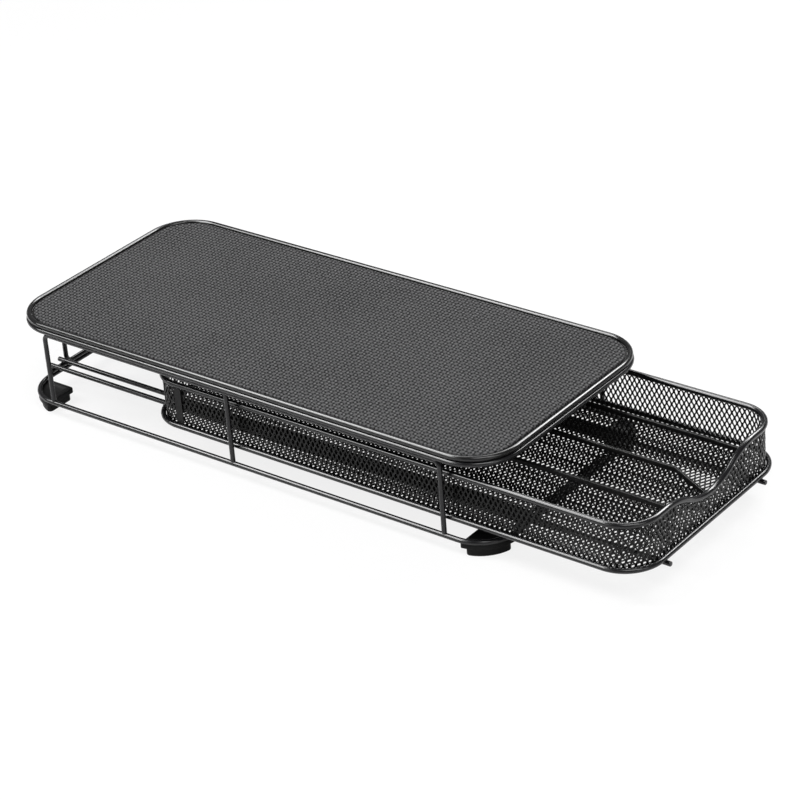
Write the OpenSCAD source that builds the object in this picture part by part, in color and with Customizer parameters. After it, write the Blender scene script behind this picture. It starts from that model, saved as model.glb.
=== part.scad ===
// Pull-out drawer for coffee pods under a flat top: a wire frame with a mat on top,
// and an expanded-metal basket with four rows that slides out to the front.
// +X is the front, +Y the far side, +Z up. The origin is under the middle of the
// whole part, on the table, with the drawer partly out.

/* [Top] */
// Length of the top, back to front
top_len = 365; // [320:1:420]
// Width of the top
top_w = 165; // [150:1:210]
// Height of the top's rim above the table
top_h = 65; // [62:1:90]
// Corner radius of the top, outside
top_r = 30; // [24:1:45]
// Thickness of the rolled rim round the top
rim_d = 3.4; // [2.6:0.1:4.4]
// How far the rolled rim stands in from the ring below it
rim_set = 0.5; // [0:0.1:1.2]
// Thickness of the sheet under the mat
panel_t = 0.8; // [0.6:0.1:1.2]
// Thickness of the mat
mat_t = 1.2; // [0.8:0.1:1.8]
// Groove between the mat and the rim
mat_groove = 1; // [0.4:0.1:3]

/* [Frame] */
// Wire of the top ring and the base ring
ring_d = 3.2; // [2.6:0.1:4]
// Wire of the side frames, middle posts, hanger and rails
wire_d = 3; // [2.4:0.1:3.4]
// Middle of the side wires, in from the edge of the top
side_in = 3; // [2.6:0.1:4]
// Rear leg of each side frame, from the back
rear_leg_x = 29; // [29:1:60]
// Middle post of each side, from the back
mid_post_x = 174; // [100:1:240]
// Front leg of each side frame, from the front
front_leg_in = 36; // [33:1:60]
// Bend radius of the side frames
leg_bend = 4; // [3:0.5:8]
// Height of the middle of the base ring
base_z = 9.4; // [8:0.1:12]
// Corner radius of the base ring, at the middle of its wire
base_r = 24; // [18:1:26]

/* [Feet] */
// Length of each side of a foot
foot_size = 23; // [18:1:26]
// How far a foot reaches out past the middle of the ring
foot_lip = 1.2; // [0.6:0.1:1.4]
// Height of the narrower lower part of a foot
foot_step_h = 5.2; // [3:0.1:6]
// How much the lower part stands in
foot_step = 1.6; // [0.5:0.1:3]
// Top of a foot, above the middle of the ring, or below it where negative
foot_top = -1; // [-1.2:0.1:0.5]

/* [Rails] */
// Height of the middle of the rails
rail_z = 16.5; // [16:0.1:20]
// Middle of each pair of rails, in from the long edges of the top
track_in = 33.2; // [28.5:0.1:40]
// Distance between the two rails of a pair
track_gap = 8.7; // [7.5:0.1:12]
// How far the rails stick out behind the hanger
rail_stub = 3.2; // [2:0.1:4]
// Bend radius at the foot of the hanger
hanger_bend = 5; // [4:0.5:10]
// Middle of the hanger's legs, in from the inner rails
hanger_leg_in = 3.4; // [3.2:0.1:6]
// How far the hanger's bar reaches past the outer rails
hanger_over = 2.4; // [1.6:0.1:5]

/* [Drawer] */
// How far the drawer stands open at rest
open_at_rest = 95.5; // [0:0.5:160]
// Height from the bottom ring's middle to the rim's middle
basket_h = 27.2; // [22:0.1:30]
// Corner radius of the drawer, at its bottom ring's outside
basket_r = 25; // [20:1:32]
// Wire of the drawer's bottom ring
basket_ring_d = 3.2; // [2.6:0.1:3.6]
// Thickness of the rolled rim of the basket
basket_rim_d = 3.6; // [3:0.1:4.4]
// Thickness of the expanded sheet
sheet_t = 0.8; // [0.5:0.1:1.2]
// Half the width of the finger dip
dip_reach = 44; // [34:1:48]
// How far the runners stick out in front
runner_stub = 2; // [1:0.5:8]
// Wire of the two runners under the basket
runner_d = 3; // [2.4:0.1:3.4]
// Top of the dividers, below the middle of the rim
divider_drop = 3; // [2.5:0.1:8]
// Length of the slope at the front of each divider
divider_slope = 22; // [14:1:40]
// Width of the folded edge on each divider
hem_w = 2.2; // [1.8:0.1:3]
// Height of the folded edge on each divider
hem_h = 2.6; // [2:0.1:4]
// Width of the strip where the sheet's ends meet
seam_w = 5; // [4:0.5:8]
// Thickness of that strip
seam_t = 0.6; // [0.4:0.1:1]

/* [Mesh] */
// Spacing of the wall openings along the wall
wall_pitch = 10; // [8:0.5:14]
// Spacing of the wall openings, up the wall
wall_rise = 9.6; // [8:0.2:12]
// Spacing of the floor openings along the drawer
floor_pitch = 30; // [24:1:40]
// Spacing of the floor openings across the drawer
floor_rise = 20; // [16:1:30]
// Width of the strands between openings
strand = 1.8; // [1.4:0.1:3]
// Plain band left along the edges of each sheet
sheet_edge = 1.2; // [0.8:0.1:2]

/* [Fits] */
// Gap left where two still pieces touch
seat = 0.1; // [0.05:0.05:0.2]
// Gap between the drawer and the side frames
side_run = 1; // [0.6:0.1:1.6]
// Height of the basket over the rails
rail_run = 0.2; // [0.2:0.05:0.5]
// Gap behind the closed drawer
back_run = 0.8; // [0.4:0.1:2]
// How far the closed drawer stands back from the front edge
front_in = 2.8; // [1:0.1:6]

/* [Hidden] */
$fn = 48;

// Heights of the top
rim_z = top_h - rim_d / 2;
ring_in = ring_d / 2;
rim_in = rim_set + rim_d / 2;
ring_z = rim_z - sqrt(pow((rim_d + ring_d) / 2 + seat, 2) - pow(rim_in - ring_in, 2));
panel_in = rim_in + rim_d / 2 + seat;
panel_z = rim_z - panel_t - mat_t / 4;
mat_z = panel_z + panel_t;
mat_in = panel_in + mat_groove;

// The side wires nest under the inner flank of the top ring
nest = (ring_d + wire_d) / 2 + seat;
side_z = ring_z - sqrt(pow(nest, 2) - pow(side_in - ring_in, 2));
side_y = top_w / 2 - side_in;
front_leg_x = top_len - front_leg_in;
base_top = base_z + ring_d / 2 + seat;

// The hanger stands just inside the top ring and carries the rails
hanger_x = ring_in + nest;
hanger_z = rail_z - wire_d - seat;
track_y = top_w / 2 - track_in;
rail_inner_y = track_y - track_gap / 2;
rail_outer_y = track_y + track_gap / 2;
hanger_leg_y = rail_inner_y - hanger_leg_in;
hanger_top = panel_z - seat;

// The front rest fills the height between the base ring and the rails
rest_x = top_len - side_in;
rest_d = rail_z - wire_d / 2 - seat - base_top;
rest_z = base_top + rest_d / 2;
bar_end = rail_outer_y + hanger_over;

// The basket, with x from the drawer's own back
closed_x = hanger_x + wire_d / 2 + back_run;
drawer_x = closed_x + open_at_rest;
basket_len = top_len - front_in - closed_x;
basket_w = 2 * (side_y - wire_d / 2 - side_run);
ring_run_z = rail_z + wire_d / 2 + rail_run;
basket_ring_z = ring_run_z + basket_ring_d / 2;
basket_rim_z = basket_ring_z + basket_h;
wall_out = basket_ring_d + seat;
wall_mid = wall_out + sheet_t / 2;
wall_in = wall_out + sheet_t;
wall_low = ring_run_z;
wall_top = basket_rim_z - basket_rim_d / 2 - seat;
floor_z = ring_run_z;
floor_top = floor_z + sheet_t;
runner_z = ring_run_z - seat - runner_d / 2;
divider_top = basket_rim_z - divider_drop;
row_w = (basket_w - 2 * wall_in) / 4;

// The finger dip is four equal arcs of 30 degrees that meet on tangents
dip_angle = 30;
dip_arc = dip_reach;
dip_depth = 2 * dip_arc * (1 - cos(dip_angle));
dip_steps = 10;
// The arcs of the rim stop short of each other, inside a slightly wider collar
collar_len = 2;
collar_over = 0.06;
collar_gap = 0.3;

// The middle of the whole part, from the back of the top
front_tip = max(top_len, drawer_x + basket_len + runner_stub);
mid_x = front_tip / 2;

coat = [0.09, 0.09, 0.1];
wire_coat = [0.13, 0.13, 0.14];
rubber = [0.05, 0.05, 0.05];
mat_grey = [0.3, 0.3, 0.31];

// How far the front rim is below its straight run, at y from the middle
function dip(y) =
    abs(y) >= dip_reach ? 0
    : abs(y) > dip_reach / 2 ? dip_arc - sqrt(pow(dip_arc, 2) - pow(dip_reach - abs(y), 2))
    : dip_depth - dip_arc + sqrt(pow(dip_arc, 2) - y * y);

// How much lower the rim's underside is at y, where the rim slopes
function dip_lean(y) =
    let (s = max(0, min(abs(y), dip_reach - abs(y))) / dip_arc)
    (1 / sqrt(1 - s * s) - 1) * (basket_rim_d / 2 + seat);

module on_table() {
    translate([-mid_x, 0, 0]) children();
}

module on_drawer() {
    translate([drawer_x - mid_x, 0, 0]) children();
}

module x_bar(x1, x2, y, z, d) {
    translate([x1, y, z]) rotate([0, 90, 0]) cylinder(d = d, h = x2 - x1);
}

module y_bar(y1, y2, x, z, d) {
    translate([x, y1, z]) rotate([-90, 0, 0]) cylinder(d = d, h = y2 - y1);
}

module z_bar(z1, z2, x, y, d) {
    translate([x, y, z1]) cylinder(d = d, h = z2 - z1);
}

// A bend of round wire in the local XY plane, from angle a1 to a2
module bend(r, d, a1, a2) {
    rotate([0, 0, a1]) rotate_extrude(angle = a2 - a1) translate([r, 0]) circle(d = d);
}

// A closed ring of wire round a rectangle with round corners, at the middle of its wire
module wire_ring(x1, x2, w, r, z, d) {
    for (side = [-1, 1]) x_bar(x1 + r, x2 - r, side * w / 2, z, d);
    for (x = [x1, x2]) y_bar(-w / 2 + r, w / 2 - r, x, z, d);
    translate([x1 + r, w / 2 - r, z]) bend(r, d, 90, 180);
    translate([x1 + r, r - w / 2, z]) bend(r, d, 180, 270);
    translate([x2 - r, r - w / 2, z]) bend(r, d, 270, 360);
    translate([x2 - r, w / 2 - r, z]) bend(r, d, 0, 90);
}

// A flat sheet with round corners
module sheet(x1, x2, w, r, z, t) {
    translate([x1, -w / 2, z]) linear_extrude(t) {
        translate([r, 0]) square([x2 - x1 - 2 * r, w]);
        translate([0, r]) square([x2 - x1, w - 2 * r]);
        for (x = [r, x2 - x1 - r], y = [r, w - r]) translate([x, y]) circle(r);
    }
}

function diamond(c, w, h) =
    [[c[0] - w / 2, c[1]], [c[0], c[1] - h / 2], [c[0] + w / 2, c[1]], [c[0], c[1] + h / 2]];

// An expanded sheet in the XY plane: a flat outline with a staggered row of diamonds
module expanded(outline, centres, w, h, t) {
    n = len(outline);
    points = concat(outline, [for (c = centres) each diamond(c, w, h)]);
    holes = [for (k = [0 : len(centres) - 1]) [for (i = [0 : 3]) n + 4 * k + i]];
    linear_extrude(t) polygon(points, concat([[for (i = [0 : n - 1]) i]], holes));
}

// Staggered centres round the middle of a strip of length l and height h
function stagger(l, h, pitch, rise, top = 0) = [
    for (j = [-ceil(h / rise) * 2 : ceil(h / rise) * 2], i = [-ceil(l / pitch) : ceil(l / pitch)])
        let (x = (i + (j % 2 == 0 ? 0 : 0.5)) * pitch, y = h / 2 + j * rise / 2,
            half_w = (pitch - strand) / 2, half_h = (rise - strand) / 2)
        if (abs(x) + half_w < l / 2 - sheet_edge && y - half_h > sheet_edge
            && y + half_h < h - sheet_edge - top) [x + l / 2, y]];

// The centres that stay clear of the finger dip, for a wall whose middle is at l / 2
function clear_of_dip(centres, l, h) = [
    for (c = centres)
        if (c[1] + (wall_rise - strand) / 2
            < h - sheet_edge - dip(max(0, abs(c[0] - l / 2) - (wall_pitch - strand) / 2))) c];

module top_panel() {
    color(coat) on_table()
        sheet(panel_in, top_len - panel_in, top_w - 2 * panel_in, top_r - panel_in, panel_z, panel_t);
}

module top_mat() {
    color(mat_grey) on_table()
        sheet(mat_in, top_len - mat_in, top_w - 2 * mat_in, top_r - mat_in, mat_z, mat_t);
}

module top_rim() {
    color(coat) on_table()
        wire_ring(rim_in, top_len - rim_in, top_w - 2 * rim_in, top_r - rim_in, rim_z, rim_d);
}

module top_ring() {
    color(wire_coat) on_table()
        wire_ring(ring_in, top_len - ring_in, top_w - 2 * ring_in, top_r - ring_in, ring_z, ring_d);
}

// One bent wire: a leg, a run under the top ring, and a leg
module side_frame(side) {
    color(wire_coat) on_table() {
        z_bar(base_top, side_z - leg_bend, rear_leg_x, side * side_y, wire_d);
        z_bar(base_top, side_z - leg_bend, front_leg_x, side * side_y, wire_d);
        x_bar(rear_leg_x + leg_bend, front_leg_x - leg_bend, side * side_y, side_z, wire_d);
        translate([rear_leg_x + leg_bend, side * side_y, side_z - leg_bend])
            rotate([90, 0, 0]) bend(leg_bend, wire_d, 90, 180);
        translate([front_leg_x - leg_bend, side * side_y, side_z - leg_bend])
            rotate([90, 0, 0]) bend(leg_bend, wire_d, 0, 90);
    }
}

module side_frame_near() side_frame(-1);
module side_frame_far() side_frame(1);

module middle_post(side) {
    color(wire_coat) on_table()
        z_bar(base_top, side_z - wire_d / 2 - seat, mid_post_x, side * side_y, wire_d);
}

module middle_post_near() middle_post(-1);
module middle_post_far() middle_post(1);

module base_ring() {
    color(wire_coat) on_table()
        wire_ring(side_in, top_len - side_in, 2 * side_y, base_r, base_z, ring_d);
}

// A bent wire with two legs up to the top, and a short rest for the rails at each side
module rear_hanger() {
    rest_y = hanger_leg_y - hanger_bend / 3;
    color(wire_coat) on_table() {
        y_bar(hanger_bend - hanger_leg_y, hanger_leg_y - hanger_bend, hanger_x, hanger_z, wire_d);
        for (side = [-1, 1]) {
            z_bar(hanger_z + hanger_bend, hanger_top, hanger_x, side * hanger_leg_y, wire_d);
            translate([hanger_x, side * (hanger_leg_y - hanger_bend), hanger_z + hanger_bend])
                rotate([90, 0, 90]) bend(hanger_bend, wire_d, side > 0 ? 270 : 180, side > 0 ? 360 : 270);
            y_bar(side > 0 ? rest_y : -bar_end, side > 0 ? bar_end : -rest_y, hanger_x, hanger_z, wire_d);
        }
    }
}

// A straight bar on the front run of the base ring
module front_rest() {
    color(wire_coat) on_table() y_bar(-bar_end, bar_end, rest_x, rest_z, rest_d);
}

// A rail lies on the hanger's bar and on the front rest
module rail(y) {
    color(wire_coat) on_table() x_bar(hanger_x - rail_stub, rest_x + wire_d / 2, y, rail_z, wire_d);
}

module rail_near_outer() rail(-rail_outer_y);
module rail_near_inner() rail(-rail_inner_y);
module rail_far_inner() rail(rail_inner_y);
module rail_far_outer() rail(rail_outer_y);

// A foot's outline at the back corner of the near side, its outer arc round the ring
module foot_plan(size) {
    edge = side_in - foot_lip;
    arc = base_r + foot_lip;
    intersection() {
        translate([edge, edge]) square(size);
        union() {
            translate([edge + arc, edge + arc]) circle(arc);
            translate([edge + arc, edge]) square(size);
            translate([edge, edge + arc]) square(size);
        }
    }
}

// A moulded pad with a groove in its top, in which the corner of the base ring lies
module foot_pad() {
    groove_d = ring_d + 2 * seat;
    bend_at = side_in + base_r;
    translate([0, -top_w / 2, 0]) difference() {
        union() {
            linear_extrude(foot_step_h) foot_plan(foot_size - foot_step);
            translate([0, 0, foot_step_h])
                linear_extrude(base_z + foot_top - foot_step_h) foot_plan(foot_size);
        }
        translate([bend_at, bend_at, base_z]) bend(base_r, groove_d, 180, 270);
        x_bar(bend_at, bend_at + foot_size, side_in, base_z, groove_d);
        y_bar(bend_at, bend_at + foot_size, side_in, base_z, groove_d);
    }
}

module foot(front, far) {
    color(rubber) on_table()
        translate([front ? top_len : 0, 0, 0])
            mirror([front ? 1 : 0, 0, 0]) mirror([0, far ? 1 : 0, 0]) foot_pad();
}

module foot_rear_near() foot(false, false);
module foot_rear_far() foot(false, true);
module foot_front_near() foot(true, false);
module foot_front_far() foot(true, true);

// The rolled rim, with the finger dip in its front run
module basket_rim() {
    x1 = wall_mid;
    x2 = basket_len - wall_mid;
    w = basket_w - 2 * wall_mid;
    r = basket_r - wall_mid;
    d = basket_rim_d;
    color(coat) on_drawer() {
        for (side = [-1, 1]) x_bar(x1 + r, x2 - r, side * w / 2, basket_rim_z, d);
        y_bar(r - w / 2, w / 2 - r, x1, basket_rim_z, d);
        y_bar(r - w / 2, -dip_reach, x2, basket_rim_z, d);
        y_bar(dip_reach, w / 2 - r, x2, basket_rim_z, d);
        translate([x1 + r, w / 2 - r, basket_rim_z]) bend(r, d, 90, 180);
        translate([x1 + r, r - w / 2, basket_rim_z]) bend(r, d, 180, 270);
        translate([x2 - r, r - w / 2, basket_rim_z]) bend(r, d, 270, 360);
        translate([x2 - r, w / 2 - r, basket_rim_z]) bend(r, d, 0, 90);
        short = dip_angle - collar_gap;
        translate([x2, -dip_reach, basket_rim_z - dip_arc])
            rotate([90, 0, 90]) bend(dip_arc, d, 90 - short, 90);
        translate([x2, dip_reach, basket_rim_z - dip_arc])
            rotate([90, 0, 90]) bend(dip_arc, d, 90, 90 + short);
        translate([x2, 0, basket_rim_z - dip_depth + dip_arc])
            rotate([90, 0, 90]) bend(dip_arc, d, 270 - short, 270 + short);
        for (side = [-1, 1])
            translate([x2, side * dip_reach, basket_rim_z - dip_arc]) rotate([side * dip_angle, 0, 0])
                y_bar(-collar_len / 2, collar_len / 2, 0, dip_arc, d + collar_over);
    }
}

module basket_ring() {
    mid = basket_ring_d / 2;
    color(wire_coat) on_drawer()
        wire_ring(mid, basket_len - mid, basket_w - 2 * mid, basket_r - mid, basket_ring_z, basket_ring_d);
}

// A flat wall of expanded sheet, standing on its lower edge, from x = 0 to l
module flat_wall(l, outline, centres) {
    rotate([90, 0, 0]) translate([0, 0, -sheet_t / 2])
        expanded(outline, centres, wall_pitch - strand, wall_rise - strand, sheet_t);
}

function plain_outline(l, h) = [[0, 0], [l, 0], [l, h], [0, h]];

module side_wall(side) {
    l = basket_len - 2 * basket_r;
    h = wall_top - wall_low;
    color(coat) on_drawer()
        translate([basket_r, side * (basket_w / 2 - wall_mid), wall_low])
            flat_wall(l, plain_outline(l, h), stagger(l, h, wall_pitch, wall_rise));
}

module wall_near() side_wall(-1);
module wall_far() side_wall(1);

module wall_rear() {
    l = basket_w - 2 * basket_r;
    h = wall_top - wall_low;
    color(coat) on_drawer()
        translate([wall_mid, -l / 2, wall_low]) rotate([0, 0, 90])
            flat_wall(l, plain_outline(l, h), stagger(l, h, wall_pitch, wall_rise));
}

module wall_front() {
    l = basket_w - 2 * basket_r;
    h = wall_top - wall_low;
    top_edge = [for (i = [2 * dip_steps : -1 : -2 * dip_steps])
        let (y = i * dip_reach / (2 * dip_steps)) [l / 2 + y, h - dip(y) - dip_lean(y)]];
    outline = concat([[0, 0], [l, 0], [l, h]], top_edge, [[0, h]]);
    color(coat) on_drawer()
        translate([basket_len - wall_mid, -l / 2, wall_low]) rotate([0, 0, 90])
            flat_wall(l, outline, clear_of_dip(stagger(l, h, wall_pitch, wall_rise), l, h));
}

// A quarter of round wall, with its diamonds cut towards the middle of the bend
module corner_wall(front, far) {
    outer = basket_r - wall_out;
    h = wall_top - wall_low;
    cut = 3 * sheet_t;
    centres = stagger(outer * PI / 2, h, wall_pitch, wall_rise);
    color(coat) on_drawer()
        translate([front ? basket_len - basket_r : basket_r,
                (far ? 1 : -1) * (basket_w / 2 - basket_r), wall_low])
            mirror([front ? 0 : 1, 0, 0]) mirror([0, far ? 0 : 1, 0]) difference() {
                rotate_extrude(angle = 90) translate([outer - sheet_t, 0]) square([sheet_t, h]);
                for (c = centres)
                    rotate([0, 0, c[0] / outer * 180 / PI])
                        translate([outer - sheet_t / 2 - cut / 2, 0, c[1]])
                            rotate([90, 0, 90]) linear_extrude(cut)
                                polygon(diamond([0, 0], wall_pitch - strand, wall_rise - strand));
            }
}

module corner_rear_near() corner_wall(false, false);
module corner_rear_far() corner_wall(false, true);
module corner_front_near() corner_wall(true, false);
module corner_front_far() corner_wall(true, true);

// The floor: a middle strip of expanded sheet with round corners
module basket_floor() {
    edge = wall_in + seat;
    r = basket_r - edge;
    l = basket_len - 2 * edge;
    w = basket_w - 2 * edge;
    turn = 6;
    outline = [for (k = [0 : 3], i = [0 : turn])
        let (a = 180 + 90 * k + 90 * i / turn,
            cx = (k == 1 || k == 2) ? l - r : r, cy = k > 1 ? w - r : r)
        [cx + r * cos(a), cy + r * sin(a)]];
    centres = [for (c = stagger(l, w, floor_pitch, floor_rise))
        let (u = abs(c[0] - l / 2) + floor_pitch / 2 - (l / 2 - r),
            v = abs(c[1] - w / 2) + floor_rise / 2 - (w / 2 - r))
        if (u < 0 || v < 0 || norm([u, v]) < r - sheet_edge) c];
    color(coat) on_drawer()
        translate([edge, -w / 2, floor_z])
            expanded(outline, centres, floor_pitch - strand, floor_rise - strand, sheet_t);
}

// The strip over the joint in the sheet, where the near wall meets the back corner
module seam_strip() {
    color(coat) on_drawer()
        translate([basket_r, -basket_w / 2 + wall_out - seat - seam_t, basket_ring_z + basket_ring_d / 2 + seat])
            cube([seam_w, seam_t, wall_top - basket_ring_z - basket_ring_d / 2 - 2 * seat]);
}

module runner(side) {
    color(wire_coat) on_drawer()
        x_bar(0, basket_len + runner_stub, side * track_y, runner_z, runner_d);
}

module runner_near() runner(-1);
module runner_far() runner(1);

// A lengthwise divider: expanded sheet with a folded edge, that slopes down to the rim in front
module divider(y) {
    x1 = wall_in + seat;
    l = basket_len - 2 * x1;
    low = floor_top + seat;
    h = divider_top - low;
    drop = dip(y);
    slope = drop > hem_h ? divider_slope : 0;
    outline = [[0, 0], [l, 0], [l, h - drop], [l - divider_slope, h], [0, h]];
    centres = [for (c = stagger(l, h, wall_pitch, wall_rise, hem_h))
        if (c[0] < l - slope - wall_pitch || c[1] < h - hem_h - drop - wall_rise / 2) c];
    color(coat) on_drawer() translate([x1, y, low]) {
        flat_wall(l, outline, centres);
        difference() {
            union() {
                translate([0, -hem_w / 2, h - hem_h]) cube([l - divider_slope, hem_w, hem_h]);
                translate([0, hem_w / 2, 0]) rotate([90, 0, 0]) linear_extrude(hem_w)
                    polygon([[l - divider_slope, h], [l - divider_slope, h - hem_h],
                        [l, h - drop - hem_h], [l, h - drop]]);
            }
            translate([-1, -sheet_t / 4, h - sheet_t / 2]) cube([l - divider_slope, sheet_t / 2, sheet_t]);
        }
    }
}

module divider_near() divider(-row_w);
module divider_middle() divider(0);
module divider_far() divider(row_w);

top_panel();
top_mat();
top_rim();
top_ring();
side_frame_near();
side_frame_far();
middle_post_near();
middle_post_far();
base_ring();
rear_hanger();
front_rest();
rail_near_outer();
rail_near_inner();
rail_far_inner();
rail_far_outer();
foot_rear_near();
foot_rear_far();
foot_front_near();
foot_front_far();
basket_rim();
basket_ring();
basket_floor();
wall_near();
wall_far();
wall_front();
wall_rear();
corner_rear_near();
corner_rear_far();
corner_front_near();
corner_front_far();
seam_strip();
runner_near();
runner_far();
divider_near();
divider_middle();
divider_far();
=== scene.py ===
import math
import bpy
import bmesh
from mathutils import Matrix, Vector


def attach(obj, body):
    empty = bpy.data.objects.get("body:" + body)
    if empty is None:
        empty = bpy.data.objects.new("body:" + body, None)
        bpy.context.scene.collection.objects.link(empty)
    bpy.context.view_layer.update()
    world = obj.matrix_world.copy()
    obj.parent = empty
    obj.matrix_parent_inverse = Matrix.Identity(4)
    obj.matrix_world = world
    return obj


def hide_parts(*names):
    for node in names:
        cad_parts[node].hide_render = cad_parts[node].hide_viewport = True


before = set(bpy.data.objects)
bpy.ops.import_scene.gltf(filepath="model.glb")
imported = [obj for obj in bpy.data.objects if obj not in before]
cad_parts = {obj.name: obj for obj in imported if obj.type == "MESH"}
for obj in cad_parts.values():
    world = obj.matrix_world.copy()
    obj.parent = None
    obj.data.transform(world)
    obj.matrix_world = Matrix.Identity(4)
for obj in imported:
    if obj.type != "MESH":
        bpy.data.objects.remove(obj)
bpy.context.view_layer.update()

mm = 0.001

# sizes shared by several pieces, in millimetres, from the back of the top and its centre line
top = dict(length=365, width=165, rimZ=63.3, rimWire=3.4, rimIn=2.2, ringZ=59.953, ringWire=3.2, ringIn=1.6,
           corner=30, panelTop=63.0)
side = dict(inset=3, wire=3, runZ=57.082, bend=4, rearLeg=29, frontLeg=329, middlePost=174, postGap=1.2)
base = dict(wire=3.2, z=9.4, corner=24)
rails = dict(z=16.5, wire=3, inner=44.95, outer=53.65, stub=3.2)
hanger = dict(x=4.8, wire=3, z=13.4, legY=41.55, bend=5, top=62.1, over=2.4, lap=2)
frontRest = dict(x=362, wire=3.8, z=13)
basket = dict(back=102.6, length=355.1, width=154, corner=25, ringZ=19.8, ringWire=3.2, rimZ=47, rimWire=3.6,
              wallIn=3.7, floorZ=18.2, dip=44, runnerY=49.3, runnerZ=16.6, runnerWire=3, runnerStub=2)
middle = 229.85  # the part's own origin, from the back of the top


def place(x, y, z):
    return Vector(((x - middle) * mm, y * mm, z * mm))


# four arcs of one radius make the finger dip, and each turns by dipTurn
dipTurn = math.radians(30)


def dipAt(y):
    # how far the drawer's edge lies below its rim
    reach = basket["dip"]
    if abs(y) >= reach:
        return 0
    if abs(y) > reach / 2:
        return reach - math.sqrt(reach ** 2 - (reach - abs(y)) ** 2)
    return 2 * reach * (1 - math.cos(dipTurn)) - reach + math.sqrt(reach ** 2 - y * y)


# node trees

class Wire:
    # a socket that can stand in a sum, with its tree
    def __init__(self, graph, socket):
        self.graph, self.socket = graph, socket

    def maths(self, operation, *values):
        return self.graph.add("ShaderNodeMath", dict(operation=operation), dict(enumerate(values)))

    def __add__(self, other): return self.maths("ADD", self, other)
    def __radd__(self, other): return self.maths("ADD", other, self)
    def __sub__(self, other): return self.maths("SUBTRACT", self, other)
    def __rsub__(self, other): return self.maths("SUBTRACT", other, self)
    def __mul__(self, other): return self.maths("MULTIPLY", self, other)
    def __rmul__(self, other): return self.maths("MULTIPLY", other, self)
    def __truediv__(self, other): return self.maths("DIVIDE", self, other)
    def __rtruediv__(self, other): return self.maths("DIVIDE", other, self)
    def __lt__(self, other): return self.maths("LESS_THAN", self, other)
    def __gt__(self, other): return self.maths("GREATER_THAN", self, other)
    def __abs__(self): return self.maths("ABSOLUTE", self)
    def least(self, other): return self.maths("MINIMUM", self, other)
    def most(self, other): return self.maths("MAXIMUM", self, other)
    def root(self): return self.maths("SQRT", self)
    def cosine(self): return self.maths("COSINE", self)


class Graph:
    # one node tree, for a material, the world or geometry
    def __init__(self, tree):
        self.tree, self.made = tree, 0

    def add(self, kind, settings=None, inputs=None, out=0):
        node = self.tree.nodes.new(kind)
        node.location = (220 * (self.made % 12), -180 * (self.made // 12))  # rows of twelve in the editor
        self.made += 1
        for name, value in (settings or {}).items():
            setattr(node, name, value)
        for name, value in (inputs or {}).items():
            target = node.inputs[name]
            if isinstance(value, Wire):
                self.tree.links.new(value.socket, target)
            else:
                target.default_value = value
        return Wire(self, node.outputs[out])

    def parts(self, vector):
        # the X, Y and Z of a vector
        node = self.add("ShaderNodeSeparateXYZ", {}, {"Vector": vector}).socket.node
        return [Wire(self, output) for output in node.outputs]

    def link(self, wire, target):
        self.tree.links.new(wire.socket, target)


def geometryGraph(name, inputs):
    tree = bpy.data.node_groups.new(name, "GeometryNodeTree")
    tree.interface.new_socket("Geometry", in_out="INPUT", socket_type="NodeSocketGeometry")
    for label, kind, value in inputs:
        socket = tree.interface.new_socket(label, in_out="INPUT", socket_type=kind)
        if value is not None:
            socket.default_value = value
    tree.interface.new_socket("Geometry", in_out="OUTPUT", socket_type="NodeSocketGeometry")
    graph = Graph(tree)
    given = tree.nodes.new("NodeGroupInput")
    return graph, {socket.name: Wire(graph, socket) for socket in given.outputs if socket.name}


def endGraph(graph, geometry, finish):
    geometry = graph.add("GeometryNodeRealizeInstances", {}, {"Geometry": geometry})
    geometry = graph.add("GeometryNodeSetMaterial", {}, {"Geometry": geometry, "Material": finish})
    graph.link(geometry, graph.tree.nodes.new("NodeGroupOutput").inputs[0])
    return graph.tree


def grown(name, vertices, edges, tree, **values):
    # a piece from a plain path or points and a tree, as a mesh of its own
    seed = bpy.data.meshes.new(name + "_seed")
    seed.from_pydata(vertices, edges, [])
    carrier = bpy.data.objects.new(name + "_seed", seed)
    bpy.context.scene.collection.objects.link(carrier)
    modifier = carrier.modifiers.new("grow", "NODES")
    modifier.node_group = tree
    for socket in tree.interface.items_tree:
        if socket.item_type == "SOCKET" and socket.in_out == "INPUT" and socket.name in values:
            modifier[socket.identifier] = values[socket.name]
    deps = bpy.context.evaluated_depsgraph_get()
    mesh = bpy.data.meshes.new_from_object(carrier.evaluated_get(deps), preserve_all_data_layers=True,
                                           depsgraph=deps)
    carrier.modifiers.remove(modifier)
    bpy.data.objects.remove(carrier)
    mesh.name = name
    if "along" in mesh.attributes:
        mesh.attributes.remove(mesh.attributes["along"])
    piece = bpy.data.objects.new(name, mesh)
    bpy.context.scene.collection.objects.link(piece)
    return piece


def solid(name, vertices, faces, finish, smooth=True, angle=40):
    # a piece from its faces, with edges sharper than the angle left sharp
    mesh = bpy.data.meshes.new(name)
    mesh.from_pydata(vertices, [], faces)
    work = bmesh.new()
    work.from_mesh(mesh)
    bmesh.ops.recalc_face_normals(work, faces=work.faces)
    for edge in work.edges:
        edge.smooth = len(edge.link_faces) == 2 and edge.calc_face_angle(0) < math.radians(angle)
    for face in work.faces:
        face.smooth = smooth
    work.to_mesh(mesh)
    work.free()
    mesh.materials.append(finish)
    piece = bpy.data.objects.new(name, mesh)
    bpy.context.scene.collection.objects.link(piece)
    return piece


# materials

def newMaterial(name):
    material = bpy.data.materials.new(name)
    material.use_nodes = True
    graph = Graph(material.node_tree)
    shader = material.node_tree.nodes["Principled BSDF"]
    return material, graph, shader


def objectPlace(graph):
    return graph.add("ShaderNodeTexCoord", {}, {}, out="Object")


def mixColour(graph, factor, low, high):
    return graph.add("ShaderNodeMix", dict(data_type="RGBA"), {0: factor, 6: (*low, 1), 7: (*high, 1)}, out=2)


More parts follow.
